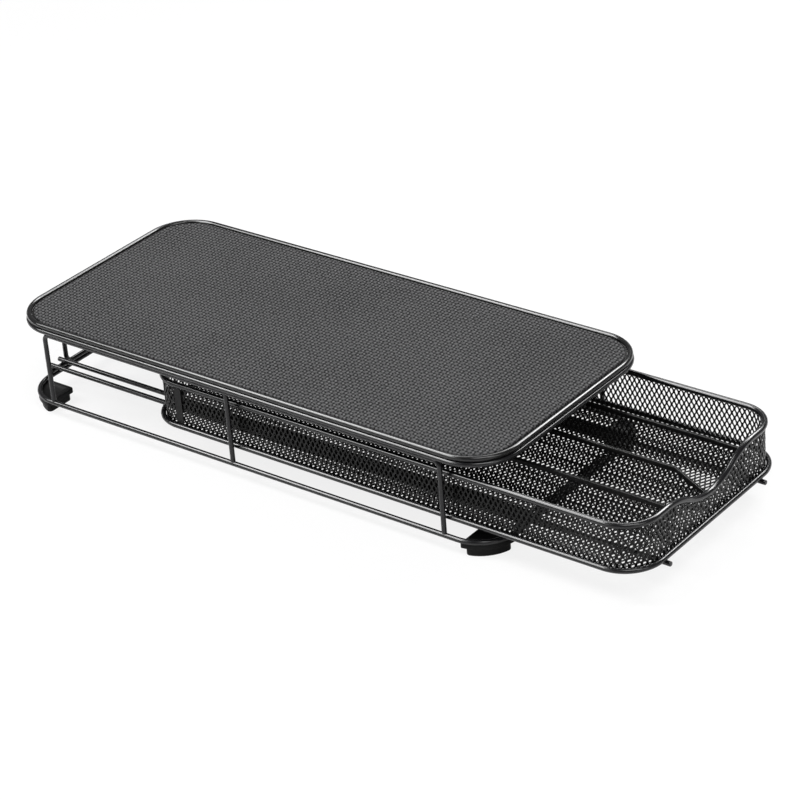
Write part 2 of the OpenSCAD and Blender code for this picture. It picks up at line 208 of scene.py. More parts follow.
def noise(graph, at, scale, detail):
    return graph.add("ShaderNodeTexNoise", {}, {"Vector": at, "Scale": scale, "Detail": detail})


def roughen(graph, shader, height, depth, strength):
    bump = graph.add("ShaderNodeBump", {}, {"Height": height, "Distance": depth * mm, "Strength": strength})
    graph.link(bump, shader.inputs["Normal"])


# what every sprayed paint has: the size of its clouds, and how far clouds and grain change its roughness
spray = dict(cloudScale=60.0, cloudRough=0.14, grainRough=0.1, strength=0.2, coatRough=0.16)


def paint(name, look):
    # sprayed black paint: a fine orange peel, with a little dust in the roughness
    material, graph, shader = newMaterial(name)
    at = objectPlace(graph)
    grain = noise(graph, at, 1 / (look["grain"] * mm), 2.0)
    cloud = noise(graph, at, spray["cloudScale"], 3.0)
    graph.link(mixColour(graph, cloud, look["dark"], look["light"]), shader.inputs["Base Color"])
    graph.link(look["rough"] + (cloud - 0.5) * spray["cloudRough"] + (grain - 0.5) * spray["grainRough"],
               shader.inputs["Roughness"])
    roughen(graph, shader, grain, look["depth"], spray["strength"])
    shader.inputs["Specular IOR Level"].default_value = look["shine"]
    shader.inputs["Coat Weight"].default_value = look["coat"]
    shader.inputs["Coat Roughness"].default_value = spray["coatRough"]
    return material


# threads: waves along X and Y to one pitch, and the strength of each
# dark and light: the mat's colour in the weave's hollows and on its nubs; the step between them is painted shade of
# the relief, with random tone from patches and specks
matLook = dict(dark=(0.010, 0.010, 0.0105), light=(0.134, 0.134, 0.136), pitch=2.85, depth=0.3, strength=0.8,
               rough=0.75, nubRough=0.15, shine=0.04, wobble=3.4, driftScale=260.0, patchScale=14.0, patch=0.8,
               speckScale=1000.0, speck=4.0, lowWave=-1.3, highWave=2.4,
               threads=((1, 0, 1), (0, 1, 0.85), (1, 1, 0.5), (1.5, 0.5, 0.63), (0.5, 1.5, 0.6)))


def wovenMat(name):
    # a moulded weave: raised nubs where the waves of all its threads meet; its colour follows the same height,
    # lighter on the nubs and darker between them as painted shade, with random patches and specks of tone
    material, graph, shader = newMaterial(name)
    at = objectPlace(graph)
    drift = noise(graph, at, matLook["driftScale"], 1.0)
    patch = noise(graph, at, matLook["patchScale"], 2.0)
    speck = noise(graph, at, matLook["speckScale"], 2.0)
    x, y, z = graph.parts(at)
    turn = 2 * math.pi / (matLook["pitch"] * mm)
    shift = (drift - 0.5) * matLook["wobble"]
    wave = (speck - 0.5) * matLook["speck"]
    for acrossX, acrossY, strength in matLook["threads"]:
        wave = wave + (x * (turn * acrossX) + y * (turn * acrossY) + shift).cosine() * strength
    reliefShadeAndTone = graph.add("ShaderNodeMapRange", {}, {
        "Value": wave + (patch - 0.5) * matLook["patch"],
        "From Min": matLook["lowWave"], "From Max": matLook["highWave"]})
    # painted shade: lighter on the raised nubs and darker in the hollows between them, following the bump's height,
    # plus patches and specks of random tone
    graph.link(mixColour(graph, reliefShadeAndTone, matLook["dark"], matLook["light"]), shader.inputs["Base Color"])
    graph.link(matLook["rough"] + (0.5 - reliefShadeAndTone) * matLook["nubRough"], shader.inputs["Roughness"])
    roughen(graph, shader, reliefShadeAndTone, matLook["depth"], matLook["strength"])
    shader.inputs["Specular IOR Level"].default_value = matLook["shine"]
    return material


rubberLook = dict(dark=(0.004, 0.004, 0.004), light=(0.010, 0.010, 0.010), rough=0.5, wornRough=0.3, shine=0.08,
                  grainScale=900.0, wornScale=70.0, depth=0.08, strength=0.6)


def mouldedRubber(name):
    material, graph, shader = newMaterial(name)
    at = objectPlace(graph)
    grain = noise(graph, at, rubberLook["grainScale"], 3.0)
    worn = noise(graph, at, rubberLook["wornScale"], 3.0)
    graph.link(mixColour(graph, worn, rubberLook["dark"], rubberLook["light"]), shader.inputs["Base Color"])
    graph.link(rubberLook["rough"] + (worn - 0.5) * rubberLook["wornRough"], shader.inputs["Roughness"])
    roughen(graph, shader, grain, rubberLook["depth"], rubberLook["strength"])
    shader.inputs["Specular IOR Level"].default_value = rubberLook["shine"]
    return material


framePaint = paint("frameWirePaint", dict(
    dark=(0.003, 0.003, 0.0035), light=(0.007, 0.007, 0.008), rough=0.2, grain=0.9, depth=0.008, coat=0.2, shine=0.3))
sheetPaint = paint("topSheetPaint", dict(
    dark=(0.003, 0.003, 0.003), light=(0.007, 0.007, 0.007), rough=0.2, grain=0.7, depth=0.008, coat=0.2, shine=0.3))
basketWirePaint = paint("basketWirePaint", dict(
    dark=(0.002, 0.002, 0.0025), light=(0.006, 0.006, 0.007), rough=0.2, grain=0.9, depth=0.008, coat=0.2, shine=0.3))
basketSheetPaint = paint("basketSheetPaint", dict(
    dark=(0.002, 0.002, 0.002), light=(0.005, 0.005, 0.005), rough=0.32, grain=0.6, depth=0.012, coat=0.04,
    shine=0.14))
matFinish = wovenMat("wovenMat")
footRubber = mouldedRubber("footRubber")
print("materials made")


# wires: a path, its bends and its round section

def wireTree(name, finish):
    graph, given = geometryGraph(name, [("Wire", "NodeSocketFloat", 0.003),
                                        ("Bend", "NodeSocketFloat", 0.004), ("Bend Steps", "NodeSocketInt", 10),
                                        ("Sides", "NodeSocketInt", 20), ("Sharp", "NodeSocketFloat", 0.9)])
    curve = graph.add("GeometryNodeMeshToCurve", {}, {"Mesh": given["Geometry"]})
    curve = graph.add("GeometryNodeFilletCurve", dict(mode="POLY"),
                      {"Curve": curve, "Radius": given["Bend"], "Count": given["Bend Steps"], "Limit Radius": True})
    section = graph.add("GeometryNodeCurvePrimitiveCircle", {},
                        {"Resolution": given["Sides"], "Radius": given["Wire"] / 2})
    tube = graph.add("GeometryNodeCurveToMesh", {}, {"Curve": curve, "Profile Curve": section, "Fill Caps": True})
    fold = graph.add("GeometryNodeInputMeshEdgeAngle")
    tube = graph.add("GeometryNodeSetShadeSmooth", dict(domain="EDGE"),
                     {"Geometry": tube, "Shade Smooth": fold < given["Sharp"]})
    return endGraph(graph, tube, finish)


frameWire = wireTree("frameWireTree", framePaint)
basketWire = wireTree("basketWireTree", basketWirePaint)
rimWire = wireTree("topRimTree", sheetPaint)


ringSteps = 24  # to the bend of a closed wire, which is wider than the others
endRound = 0.14  # of a wire's width


def bentWire(name, points, wire, bend, body, nodes, tree, closed=False, steps=10):
    edges = [(i, i + 1) for i in range(len(points) - 1)] + ([(len(points) - 1, 0)] if closed else [])
    piece = grown(name, [place(*p) for p in points], edges, tree, Wire=wire * mm, Bend=bend * mm,
                  **{"Bend Steps": steps})
    if not closed:
        softEnds(piece, wire * endRound * mm)
    finishPiece(piece, body, nodes)


def softEnds(piece, width):
    # the cut ends of a wire, with their edges rounded
    work = bmesh.new()
    work.from_mesh(piece.data)
    rims = {edge for face in work.faces if len(face.verts) > 4 for edge in face.edges}
    made = bmesh.ops.bevel(work, geom=list(rims), offset=width, segments=3, profile=0.5, affect="EDGES")
    for face in made["faces"]:
        face.smooth = len(face.verts) == 4
    work.to_mesh(piece.data)
    work.free()


def finishPiece(piece, body, nodes=()):
    if nodes:
        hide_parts(*nodes)
    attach(piece, body)


def ringPath(inset, z, length=top["length"], width=top["width"], start=0):
    # corners only, because a bend at a point on a straight run pinches the wire
    x1, x2, y = start + inset, start + length - inset, width / 2 - inset
    return [(x1, y, z), (x2, y, z), (x2, -y, z), (x1, -y, z)]


bentWire("top_hem", ringPath(top["rimIn"], top["rimZ"]), top["rimWire"], top["corner"] - top["rimIn"],
         "frame", ["top_rim"], rimWire, True, ringSteps)
bentWire("top_wire", ringPath(top["ringIn"], top["ringZ"]), top["ringWire"], top["corner"] - top["ringIn"],
         "frame", ["top_ring"], frameWire, True, ringSteps)
bentWire("base_wire", ringPath(side["inset"], base["z"]), base["wire"], base["corner"],
         "frame", ["base_ring"], frameWire, True, ringSteps)

weldSink = 0.4  # how deep a leg sits in the base wire
sideY = top["width"] / 2 - side["inset"]
baseTop = base["z"] + base["wire"] / 2 - weldSink
for word, way in (("near", -1), ("far", 1)):
    a, b, y = side["rearLeg"], side["frontLeg"], way * sideY
    bentWire("side_wire_" + word, [(a, y, baseTop), (a, y, side["runZ"]), (b, y, side["runZ"]), (b, y, baseTop)],
             side["wire"], side["bend"], "frame", ["side_frame_" + word], frameWire)
    x = side["middlePost"]
    bentWire("middle_wire_" + word, [(x, y, baseTop), (x, y, side["runZ"] - side["postGap"])],
             side["wire"], 0, "frame", ["middle_post_" + word], frameWire)
    for spot, across in (("inner", rails["inner"]), ("outer", rails["outer"])):
        path = [(hanger["x"] - rails["stub"], way * across, rails["z"]),
                (frontRest["x"] + rails["wire"] / 2, way * across, rails["z"])]
        bentWire(f"rail_wire_{word}_{spot}", path, rails["wire"], 0, "frame",
                 [f"rail_{word}_{spot}"], frameWire)

hx, hz, hy = hanger["x"], hanger["z"], hanger["legY"]
bentWire("hanger_wire", [(hx, -hy, hanger["top"]), (hx, -hy, hz), (hx, hy, hz), (hx, hy, hanger["top"])],
         hanger["wire"], hanger["bend"], "frame", ["rear_hanger"], frameWire)
restEnd = rails["outer"] + hanger["over"]
bentWire("front_rest_bar", [(frontRest["x"], -restEnd, frontRest["z"]), (frontRest["x"], restEnd, frontRest["z"])],
         frontRest["wire"], 0, "frame", ["front_rest"], frameWire)
for word, way in (("near", -1), ("far", 1)):
    bentWire("rail_rest_" + word, [(hx, way * (hy - hanger["lap"]), hz), (hx, way * restEnd, hz)],
             hanger["wire"], 0, "frame", [], frameWire)
print("frame wires made")


# welds: small beads where two wires meet

def beadTree(name, finish):
    graph, given = geometryGraph(name, [("Bead", "NodeSocketFloat", 0.001), ("Seed", "NodeSocketInt", 3)])
    ball = graph.add("GeometryNodeMeshIcoSphere", {}, {"Radius": given["Bead"], "Subdivisions": 3})
    size = graph.add("FunctionNodeRandomValue", dict(data_type="FLOAT_VECTOR"),
                     {0: (0.85, 0.75, 0.7), 1: (1.25, 1.0, 0.95), "Seed": given["Seed"]})
    spots = graph.add("GeometryNodeMeshToPoints", {}, {"Mesh": given["Geometry"]})
    beads = graph.add("GeometryNodeInstanceOnPoints", {}, {"Points": spots, "Instance": ball, "Scale": size})
    beads = graph.add("GeometryNodeRealizeInstances", {}, {"Geometry": beads})
    beads = graph.add("GeometryNodeSetShadeSmooth", {}, {"Geometry": beads})
    return endGraph(graph, beads, finish)


frameBead = beadTree("frameBeadTree", framePaint)
basketBead = beadTree("basketBeadTree", basketWirePaint)
# out of the side wire's middle, up from the base wire, along the run from a leg, back from the hanger's middle
welds = dict(size=1.15, out=0.5, up=0.2, along=9, back=1, frameSeed=5, drawerSeed=8)
rearLeg, middlePost, frontLeg = side["rearLeg"], side["middlePost"], side["frontLeg"]
spots = []
for way in (-1, 1):
    for x in (rearLeg + welds["along"], middlePost, frontLeg - welds["along"]):
        spots.append((x, way * (sideY + welds["out"]), (side["runZ"] + top["ringZ"]) / 2))
    for x in (rearLeg, middlePost, frontLeg):
        spots.append((x, way * sideY, base["z"] + base["wire"] / 2 + welds["up"]))
    for across in (rails["inner"], rails["outer"]):
        spots.append((hx, way * across, (rails["z"] + hanger["z"]) / 2))
        spots.append((frontRest["x"], way * across, frontRest["z"] + frontRest["wire"] / 2))
    spots.append((hx - welds["back"], way * hy, top["ringZ"]))
beads = grown("frame_welds", [place(*s) for s in spots], [], frameBead, Bead=welds["size"] * mm,
              Seed=welds["frameSeed"])
finishPiece(beads, "frame")
print("welds made")


# top: the mat in its groove

def outline(x1, x2, halfWidth, radius, steps=14):
    # a rectangle with round corners
    points = []
    for cx, cy, start in ((x2 - radius, halfWidth - radius, 0), (x1 + radius, halfWidth - radius, 90),
                          (x1 + radius, radius - halfWidth, 180), (x2 - radius, radius - halfWidth, 270)):
        for i in range(steps + 1):
            turn = math.radians(start + 90 * i / steps)
            points.append((cx + radius * math.cos(turn), cy + radius * math.sin(turn)))
    return points


def layered(name, layers, finish, angle=40):
    # closed outlines stacked in height, with a flat cap at each end
    vertices, faces, n = [], [], len(layers[0][0])
    for points, z in layers:
        vertices += [place(x, y, z) for x, y in points]
    for k in range(len(layers) - 1):
        for i in range(n):
            j = (i + 1) % n
            faces.append((k * n + i, k * n + j, (k + 1) * n + j, (k + 1) * n + i))
    faces.append(tuple(range(n - 1, -1, -1)))
    faces.append(tuple(range((len(layers) - 1) * n, len(layers) * n)))
    return solid(name, vertices, faces, finish, True, angle)


# edge: how its upper edge is rounded, in from the side and down from the top
matSize = dict(inset=5.1, high=64.15, edge=((0, 0.5), (0.1, 0.25), (0.25, 0.08), (0.5, 0)))
layers = []
for inset, z in [(0, top["panelTop"])] + [(into, matSize["high"] - down) for into, down in matSize["edge"]]:
    e = matSize["inset"] + inset
    layers.append((outline(e, top["length"] - e, top["width"] / 2 - e, top["corner"] - e), z))
matPiece = layered("mat", layers, matFinish)
finishPiece(matPiece, "frame", ["top_mat"])
print("mat made")


# feet: moulded pads round the corners of the base wire

# lip: out from the base wire, step: the set-back of the lower part, dish: the hollow inside the rim of the top
foot = dict(size=23, lip=1.2, step=1.6, stepHeight=5.2, top=8.4, soft=0.5, edge=0.15, bevel=0.2, rim=2.6,
            dish=0.4, dishDepth=0.5, tip=0.9, lowTip=2.2, inner=2, arcSteps=14, tipSteps=6)


def footPlan(inset, tip, mirrorX, mirrorY):
    # an arc round the corner of the wire, a round tip at each end of it, and a round inner corner
    arc, end = base["corner"] + foot["lip"] - inset, side["inset"] - foot["lip"] + foot["size"] - inset
    centre, inner, out = side["inset"] + base["corner"], foot["inner"], []
    tipX = end - tip
    tipY = centre - math.sqrt((arc - tip) ** 2 - (centre - tipX) ** 2)
    touch = math.degrees(math.atan2(centre - tipY, centre - tipX))
    few = foot["tipSteps"]
    for cx, cy, radius, a, b, steps, last in (
            (centre, centre, arc, 270 - touch, 180 + touch, foot["arcSteps"], 0),
            (tipX, tipY, tip, 180 + touch, 360, few, 1),
            (end - inner, end - inner, inner, 0, 90, few, 1), (tipY, tipX, tip, 90, 270 - touch, few, 0)):
        for i in range(steps + last):
            turn = math.radians(a + (b - a) * i / steps)
            x, y = cx + radius * math.cos(turn), cy + radius * math.sin(turn)
            out.append((top["length"] - x if mirrorX else x,
                        (top["width"] - y if mirrorY else y) - top["width"] / 2))
    return out


# the foot's profile from the ground up: inset, radius of its tips, height
low, soft, height, edge, bevel = foot["step"], foot["soft"], foot["top"], foot["edge"], foot["bevel"]
step, tip, lowTip, rim = foot["stepHeight"], foot["tip"], foot["lowTip"], foot["rim"]
footSteps = [(low + soft, lowTip, 0), (low + edge, lowTip, edge), (low, lowTip, soft), (low, lowTip, step - bevel),
             (low - bevel, lowTip, step), (bevel, tip, step), (0, tip, step + bevel), (0, tip, height - soft),
             (edge, tip, height - edge), (soft, tip, height), (rim, tip, height),
             (rim + foot["dish"], tip, height - foot["dishDepth"])]
for word, front in (("rear", False), ("front", True)):
    for word2, far in (("near", False), ("far", True)):
        plans = [(footPlan(inset, radius, front, far), z) for inset, radius, z in footSteps]
        pad = layered(f"foot_pad_{word}_{word2}", plans, footRubber, 50)
        finishPiece(pad, "frame", [f"foot_{word}_{word2}"])
print("feet made")


# drawer: wires, expanded sheets, dividers

# oval, plain: a quarter of an opening, hold: how far past a round corner a tile's middle may lie
mesh = dict(pitch=3.4, rise=6, thick=0.5, relief=0.2, weld=0.08, hold=1.2,
            oval=[(1.08, 0), (0.67, 1.18), (0, 1.9)], plain=[(1.15, 0), (0, 2.1)])
x1, x2 = basket["back"] + basket["wallIn"], basket["back"] + basket["length"] - basket["wallIn"]
halfY = basket["width"] / 2 - basket["wallIn"]
wallRadius = basket["corner"] - basket["wallIn"]
cornerSteps, dipSteps = 16, 24


def roundCorner(cx, cy, start):
    # a quarter turn of the rim's path about a centre
    turns = [math.radians(start - 90 * i / cornerSteps) for i in range(cornerSteps + 1)]
    return [(cx + wallRadius * math.cos(turn), cy + wallRadius * math.sin(turn), basket["rimZ"]) for turn in turns]


rearX, frontX, turnY = x1 + wallRadius, x2 - wallRadius, halfY - wallRadius
rimPath = [(x1, 0, basket["rimZ"])] + roundCorner(rearX, turnY, 180) + roundCorner(frontX, turnY, 90)
for i in range(2 * dipSteps + 1):
    y = basket["dip"] * (1 - i / dipSteps)
    rimPath.append((x2, y, basket["rimZ"] - dipAt(y)))
rimPath += roundCorner(frontX, -turnY, 0) + roundCorner(rearX, -turnY, 270)
bentWire("rim_roll", rimPath, basket["rimWire"], 0, "drawer", ["basket_rim"], basketWire, True)
ringIn = basket["ringWire"] / 2
bentWire("basket_wire_low", ringPath(ringIn, basket["ringZ"], basket["length"], basket["width"], basket["back"]),
         basket["ringWire"], basket["corner"] - ringIn, "drawer", ["basket_ring"], basketWire,
         True, ringSteps)
for word, way in (("near", -1), ("far", 1)):
    y = way * basket["runnerY"]
    path = [(basket["back"], y, basket["runnerZ"]),
            (basket["back"] + basket["length"] + basket["runnerStub"], y, basket["runnerZ"])]
    bentWire("runner_wire_" + word, path, basket["runnerWire"], 0, "drawer", ["runner_" + word],
             basketWire)
print("drawer wires made")


def cellObject(name, opening):
    # one tile of the expanded sheet: an opening in its middle and a quarter of one at each corner
    halfX, halfZ, t = mesh["pitch"] / 2, mesh["rise"] / 2, mesh["thick"] / 2
    outer = [(halfX, 0)] + [(halfX - x, halfZ - z) for x, z in reversed(opening)] + [(0, halfZ)]
    vertices, faces, known = [], [], {}

    def corner(x, z, side):
        key = (round(x, 4), round(z, 4), side)
        if key not in known:
            known[key] = len(vertices)
            lift = (abs(x) / halfX - abs(z) / halfZ) * mesh["relief"] / 2
            vertices.append((x * mm, (side * t + lift) * mm, z * mm))
        return known[key]

    for wayX in (-1, 1):
        for wayZ in (-1, 1):
            inside, outside = ([(x * wayX, z * wayZ) for x, z in line] for line in (opening, outer))
            flat = [(inside[0], outside[0], outside[1]), (inside[-1], outside[-2], outside[-1])]
            flat += [(inside[i], outside[i + 1], outside[i + 2], inside[i + 1])
                     for i in range(len(inside) - 1)]
            faces += [tuple(corner(x, z, side) for x, z in ring) for ring in flat for side in (-1, 1)]
            for line in (inside, outside[1:-1]):
                for (x, z), (nextX, nextZ) in zip(line, line[1:]):
                    faces.append((corner(x, z, -1), corner(nextX, nextZ, -1),
                                  corner(nextX, nextZ, 1), corner(x, z, 1)))
    return solid(name, vertices, faces, basketSheetPaint, False)


def sheetCells(graph, points, cell, way):
    # a cell on each point, turned along the sheet, then realized
    turned = graph.add("FunctionNodeAlignRotationToVector", dict(axis="X", pivot_axis="Z"), {"Vector": way})
    shape = graph.add("GeometryNodeObjectInfo", dict(transform_space="ORIGINAL"), {"Object": cell}, out="Geometry")
    cells = graph.add("GeometryNodeInstanceOnPoints", {}, {"Points": points, "Instance": shape, "Rotation": turned})
    cells = graph.add("GeometryNodeRealizeInstances", {}, {"Geometry": cells})
    return graph.add("GeometryNodeMergeByDistance", {}, {"Geometry": cells, "Distance": mesh["weld"] * mm})


def separate(graph):
    return graph.parts(graph.add("GeometryNodeInputPosition"))


def held(graph, geometry, limit):
    # no point of the sheet above its upper edge
    x, y, z = separate(graph)
    moved = graph.add("ShaderNodeCombineXYZ", {}, {"X": x, "Y": y, "Z": z.least(limit(x, y))})
    return graph.add("GeometryNodeSetPosition", {}, {"Geometry": geometry, "Position": moved})


def wallTree(name, finish):
    # columns of tiles round the path, cut along the rim and its dip
    graph, given = geometryGraph(name, [
        ("Cell", "NodeSocketObject", None), ("Pitch", "NodeSocketFloat", 0.003), ("Rise", "NodeSocketFloat", 0.004),
        ("Rows", "NodeSocketInt", 6), ("Corner", "NodeSocketFloat", 0.02), ("Top Edge", "NodeSocketFloat", 0.04),
        ("Dip Reach", "NodeSocketFloat", 0.04), ("Front", "NodeSocketFloat", 0.2)])
    curve = graph.add("GeometryNodeMeshToCurve", {}, {"Mesh": given["Geometry"]})
    curve = graph.add("GeometryNodeFilletCurve", dict(mode="POLY"),
                      {"Curve": curve, "Radius": given["Corner"], "Count": ringSteps})
    length = graph.add("GeometryNodeCurveLength", {}, {"Curve": curve})
    columns = length / given["Pitch"]
    curve = graph.add("GeometryNodeResampleCurve", {}, {"Curve": curve, "Count": columns})
    along = graph.add("GeometryNodeInputTangent")
    curve = graph.add("GeometryNodeStoreNamedAttribute", dict(data_type="FLOAT_VECTOR", domain="POINT"),
                      {"Geometry": curve, "Name": "along", "Value": along})
    up = graph.add("ShaderNodeCombineXYZ", {}, {"Z": given["Rise"]})
    start = graph.add("ShaderNodeCombineXYZ", {}, {"Z": given["Rise"] / 2})
    column = graph.add("GeometryNodeMeshLine", {}, {"Count": given["Rows"], "Start Location": start, "Offset": up})
    points = graph.add("GeometryNodeInstanceOnPoints", {}, {"Points": curve, "Instance": column})
    points = graph.add("GeometryNodeRealizeInstances", {}, {"Geometry": points})

    def limit(x, y):
        reach = given["Dip Reach"]
        away = abs(y)
        depth = reach * (2 * (1 - math.cos(dipTurn)))
        inner = depth - reach + (reach * reach - y * y).most(0).root()
        outer = reach - (reach * reach - (reach - away) * (reach - away)).most(0).root()
        near = (away < reach / 2)
        within = (away < reach) * (x > given["Front"])
        return given["Top Edge"] - within * (near * inner + (1 - near) * outer)

    x, y, z = separate(graph)
    points = graph.add("GeometryNodeDeleteGeometry", dict(domain="POINT"),
                       {"Geometry": points, "Selection": z > limit(x, y)})
    way = graph.add("GeometryNodeInputNamedAttribute", dict(data_type="FLOAT_VECTOR"), {"Name": "along"})
    cells = sheetCells(graph, points, given["Cell"], way)
    return endGraph(graph, held(graph, cells, limit), finish)


tiny = 1e-6  # keeps a division from having nothing under it


def flatTree(name, finish):
    # a flat grid of tiles, with round corners or with a slope at its front end
    graph, given = geometryGraph(name, [
        ("Cell", "NodeSocketObject", None), ("Columns", "NodeSocketInt", 10), ("Rows", "NodeSocketInt", 6),
        ("Pitch", "NodeSocketFloat", 0.003), ("Rise", "NodeSocketFloat", 0.004), ("Corner", "NodeSocketFloat", 0.0),
        ("Slope", "NodeSocketFloat", 0.02), ("Drop", "NodeSocketFloat", 0.0)])
    length, height = given["Columns"] * given["Pitch"], given["Rows"] * given["Rise"]
    grid = graph.add("GeometryNodeMeshGrid", {}, {
        "Size X": length - given["Pitch"], "Size Y": height - given["Rise"],
        "Vertices X": given["Columns"], "Vertices Y": given["Rows"]})
    grid = graph.add("GeometryNodeTransform", {}, {"Geometry": grid, "Rotation": (math.pi / 2, 0, 0)})

    def limit(x, y):
        into = (x - (length / 2 - given["Slope"])).most(0)
        return height / 2 - into / given["Slope"].most(tiny) * given["Drop"]

    x, y, z = separate(graph)
    flatX, flatZ = length / 2 - given["Corner"], height / 2 - given["Corner"]
    overX, overZ = (abs(x) - flatX).most(0), (abs(z) - flatZ).most(0)
    outside = (overX * overX + overZ * overZ).root() > given["Corner"] + mesh["hold"] * mm
    grid = graph.add("GeometryNodeDeleteGeometry", dict(domain="POINT"), {"Geometry": grid, "Selection": outside})
    x, y, z = separate(graph)
    grid = graph.add("GeometryNodeDeleteGeometry", dict(domain="POINT"),
                     {"Geometry": grid, "Selection": z > limit(x, y)})
    cells = held(graph, sheetCells(graph, grid, given["Cell"], (1, 0, 0)), limit)

    # what is left beyond a round corner is drawn in to its arc
    x, y, z = separate(graph)
    nearX, nearZ = x.least(flatX).most(0 - flatX), z.least(flatZ).most(0 - flatZ)
    outX, outZ = x - nearX, z - nearZ
    shrink = (given["Corner"] / (outX * outX + outZ * outZ).root().most(tiny)).least(1)
    drawnIn = graph.add("ShaderNodeCombineXYZ", {},
                        {"X": nearX + outX * shrink, "Y": y, "Z": nearZ + outZ * shrink})
    cells = graph.add("GeometryNodeSetPosition", {}, {"Geometry": cells, "Position": drawnIn})
    return endGraph(graph, cells, finish)


oval, plain = cellObject("oval_cell", mesh["oval"]), cellObject("plain_cell", mesh["plain"])
wallSheet = wallTree("wallSheetTree", basketSheetPaint)
flatSheet = flatTree("flatSheetTree", basketSheetPaint)

# start: where the sheet begins on the near side, below: from the rim's middle down to the sheet's edge,
# dipFrom: how far back from the front wall the dip is cut
wallSize = dict(rows=5, start=60, below=0.6, dipFrom=2)
sheetZ = basket["floorZ"] + 0.4  # the middle of the floor's sheet and the foot of the walls
path = [place(x, y, sheetZ) for x, y in (
    (x1 + wallSize["start"], -halfY), (x2, -halfY), (x2, halfY), (x1, halfY), (x1, -halfY))]
walls = grown("wall_sheet", path, [(i, (i + 1) % len(path)) for i in range(len(path))], wallSheet,
              Cell=oval, Pitch=mesh["pitch"] * mm, Rise=mesh["rise"] * mm, Rows=wallSize["rows"],
              Corner=wallRadius * mm,
              **{"Top Edge": (basket["rimZ"] - wallSize["below"]) * mm, "Dip Reach": basket["dip"] * mm,
                 "Front": place(x2 - wallSize["dipFrom"], 0, 0).x})
finishPiece(walls, "drawer",
            ["wall_near", "wall_far", "wall_front", "wall_rear", "corner_rear_near", "corner_rear_far",
             "corner_front_near", "corner_front_far"])
print("walls made", len(walls.data.polygons))

floorEdge = 4.2  # from the outside of the drawer to the edge of its floor
long, wide = basket["length"] - 2 * floorEdge, basket["width"] - 2 * floorEdge
columns, lines = round(long / mesh["pitch"]), round(wide / mesh["rise"])
bottom = grown("floor_sheet", [(0, 0, 0)], [], flatSheet, Cell=plain, Columns=columns, Rows=lines,
               Pitch=long / columns * mm, Rise=wide / lines * mm, Corner=(basket["corner"] - floorEdge) * mm)
bottom.data.transform(Matrix.Translation(place(basket["back"] + basket["length"] / 2, 0, sheetZ))
                      @ Matrix.Rotation(math.pi / 2, 4, "X"))
finishPiece(bottom, "drawer", ["basket_floor"])
print("floor made", len(bottom.data.polygons))

# hem: the near half of its folded edge, seen from the front
divider = dict(low=19.1, high=44, fold=1, rows=4, slope=22, gap=4.2, apart=36.45,
               hem=[(-1.1, -2.6), (-1.1, -0.45), (-0.92, -0.12), (-0.6, 0), (-0.35, 0), (-0.2, -0.35)])
section = divider["hem"] + [(-u, v) for u, v in reversed(divider["hem"])]
long = basket["length"] - 2 * divider["gap"]
tall = divider["high"] - divider["low"] - divider["fold"]
columns, lines = round(long / mesh["pitch"]), divider["rows"]
a, b = basket["back"] + divider["gap"], basket["back"] + basket["length"] - divider["gap"]
for word, at in (("near", -1), ("middle", 0), ("far", 1)):
    y = at * divider["apart"]
    drop = dipAt(y)
    wall = grown("divider_sheet_" + word, [(0, 0, 0)], [], flatSheet, Cell=oval, Columns=columns, Rows=lines,
                 Pitch=long / columns * mm, Rise=tall / lines * mm, Slope=divider["slope"] * mm, Drop=drop * mm)
    wall.data.transform(Matrix.Translation(place((a + b) / 2, y, divider["low"] + tall / 2)))
    vertices, faces = [], []
    stations = [(a, divider["high"]), (b - divider["slope"], divider["high"]), (b, divider["high"] - drop)]
    for x, z in stations:
        vertices += [place(x, y + u, z + v) for u, v in section]
    n = len(section)
    for k in range(len(stations) - 1):
        for i in range(n):
            j = (i + 1) % n
            faces.append((k * n + i, k * n + j, (k + 1) * n + j, (k + 1) * n + i))
    faces += [tuple(range(n)), tuple(range((len(stations) - 1) * n, len(stations) * n))]
    hem = solid("divider_hem_" + word, vertices, faces, basketSheetPaint, True, 35)
    finishPiece(hem, "drawer", ["divider_" + word])
    finishPiece(wall, "drawer")
print("dividers made")

for cell in (oval, plain):
    bpy.data.objects.remove(cell)
spots = []
for x in (basket["back"] + ringIn, basket["back"] + basket["length"] - ringIn):
    for way in (-1, 1):
        spots.append((x, way * basket["runnerY"], (basket["ringZ"] + basket["runnerZ"]) / 2))
beads = grown("drawer_welds", [place(*s) for s in spots], [], basketBead, Bead=welds["size"] * mm,
              Seed=welds["drawerSeed"])
finishPiece(beads, "drawer")

for word, finish in (("top_panel", sheetPaint), ("seam_strip", basketSheetPaint)):
    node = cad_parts[word]
    node.data.materials.clear()
    node.data.materials.append(finish)
print("drawer made")


# scene: floor, light and camera

def seenBy(graph, glossy):
    # 1 to the camera and through clear things, less in a reflection
    path = graph.tree.nodes.new("ShaderNodeLightPath")
    direct, mirrored, through = (
        Wire(graph, path.outputs[ray]) for ray in ("Is Camera Ray", "Is Glossy Ray", "Is Transmission Ray"))
    return direct.most(mirrored * glossy).most(through)


# shown: how white it is near the part, where its shadow lies, and fade: how fast it whitens beyond near, in metres
groundLook = dict(colour=(0.9, 0.9, 0.9), rough=0.6, shine=0.2, glossy=0.3, shown=0.84, near=0.5, fade=0.3, reach=12)


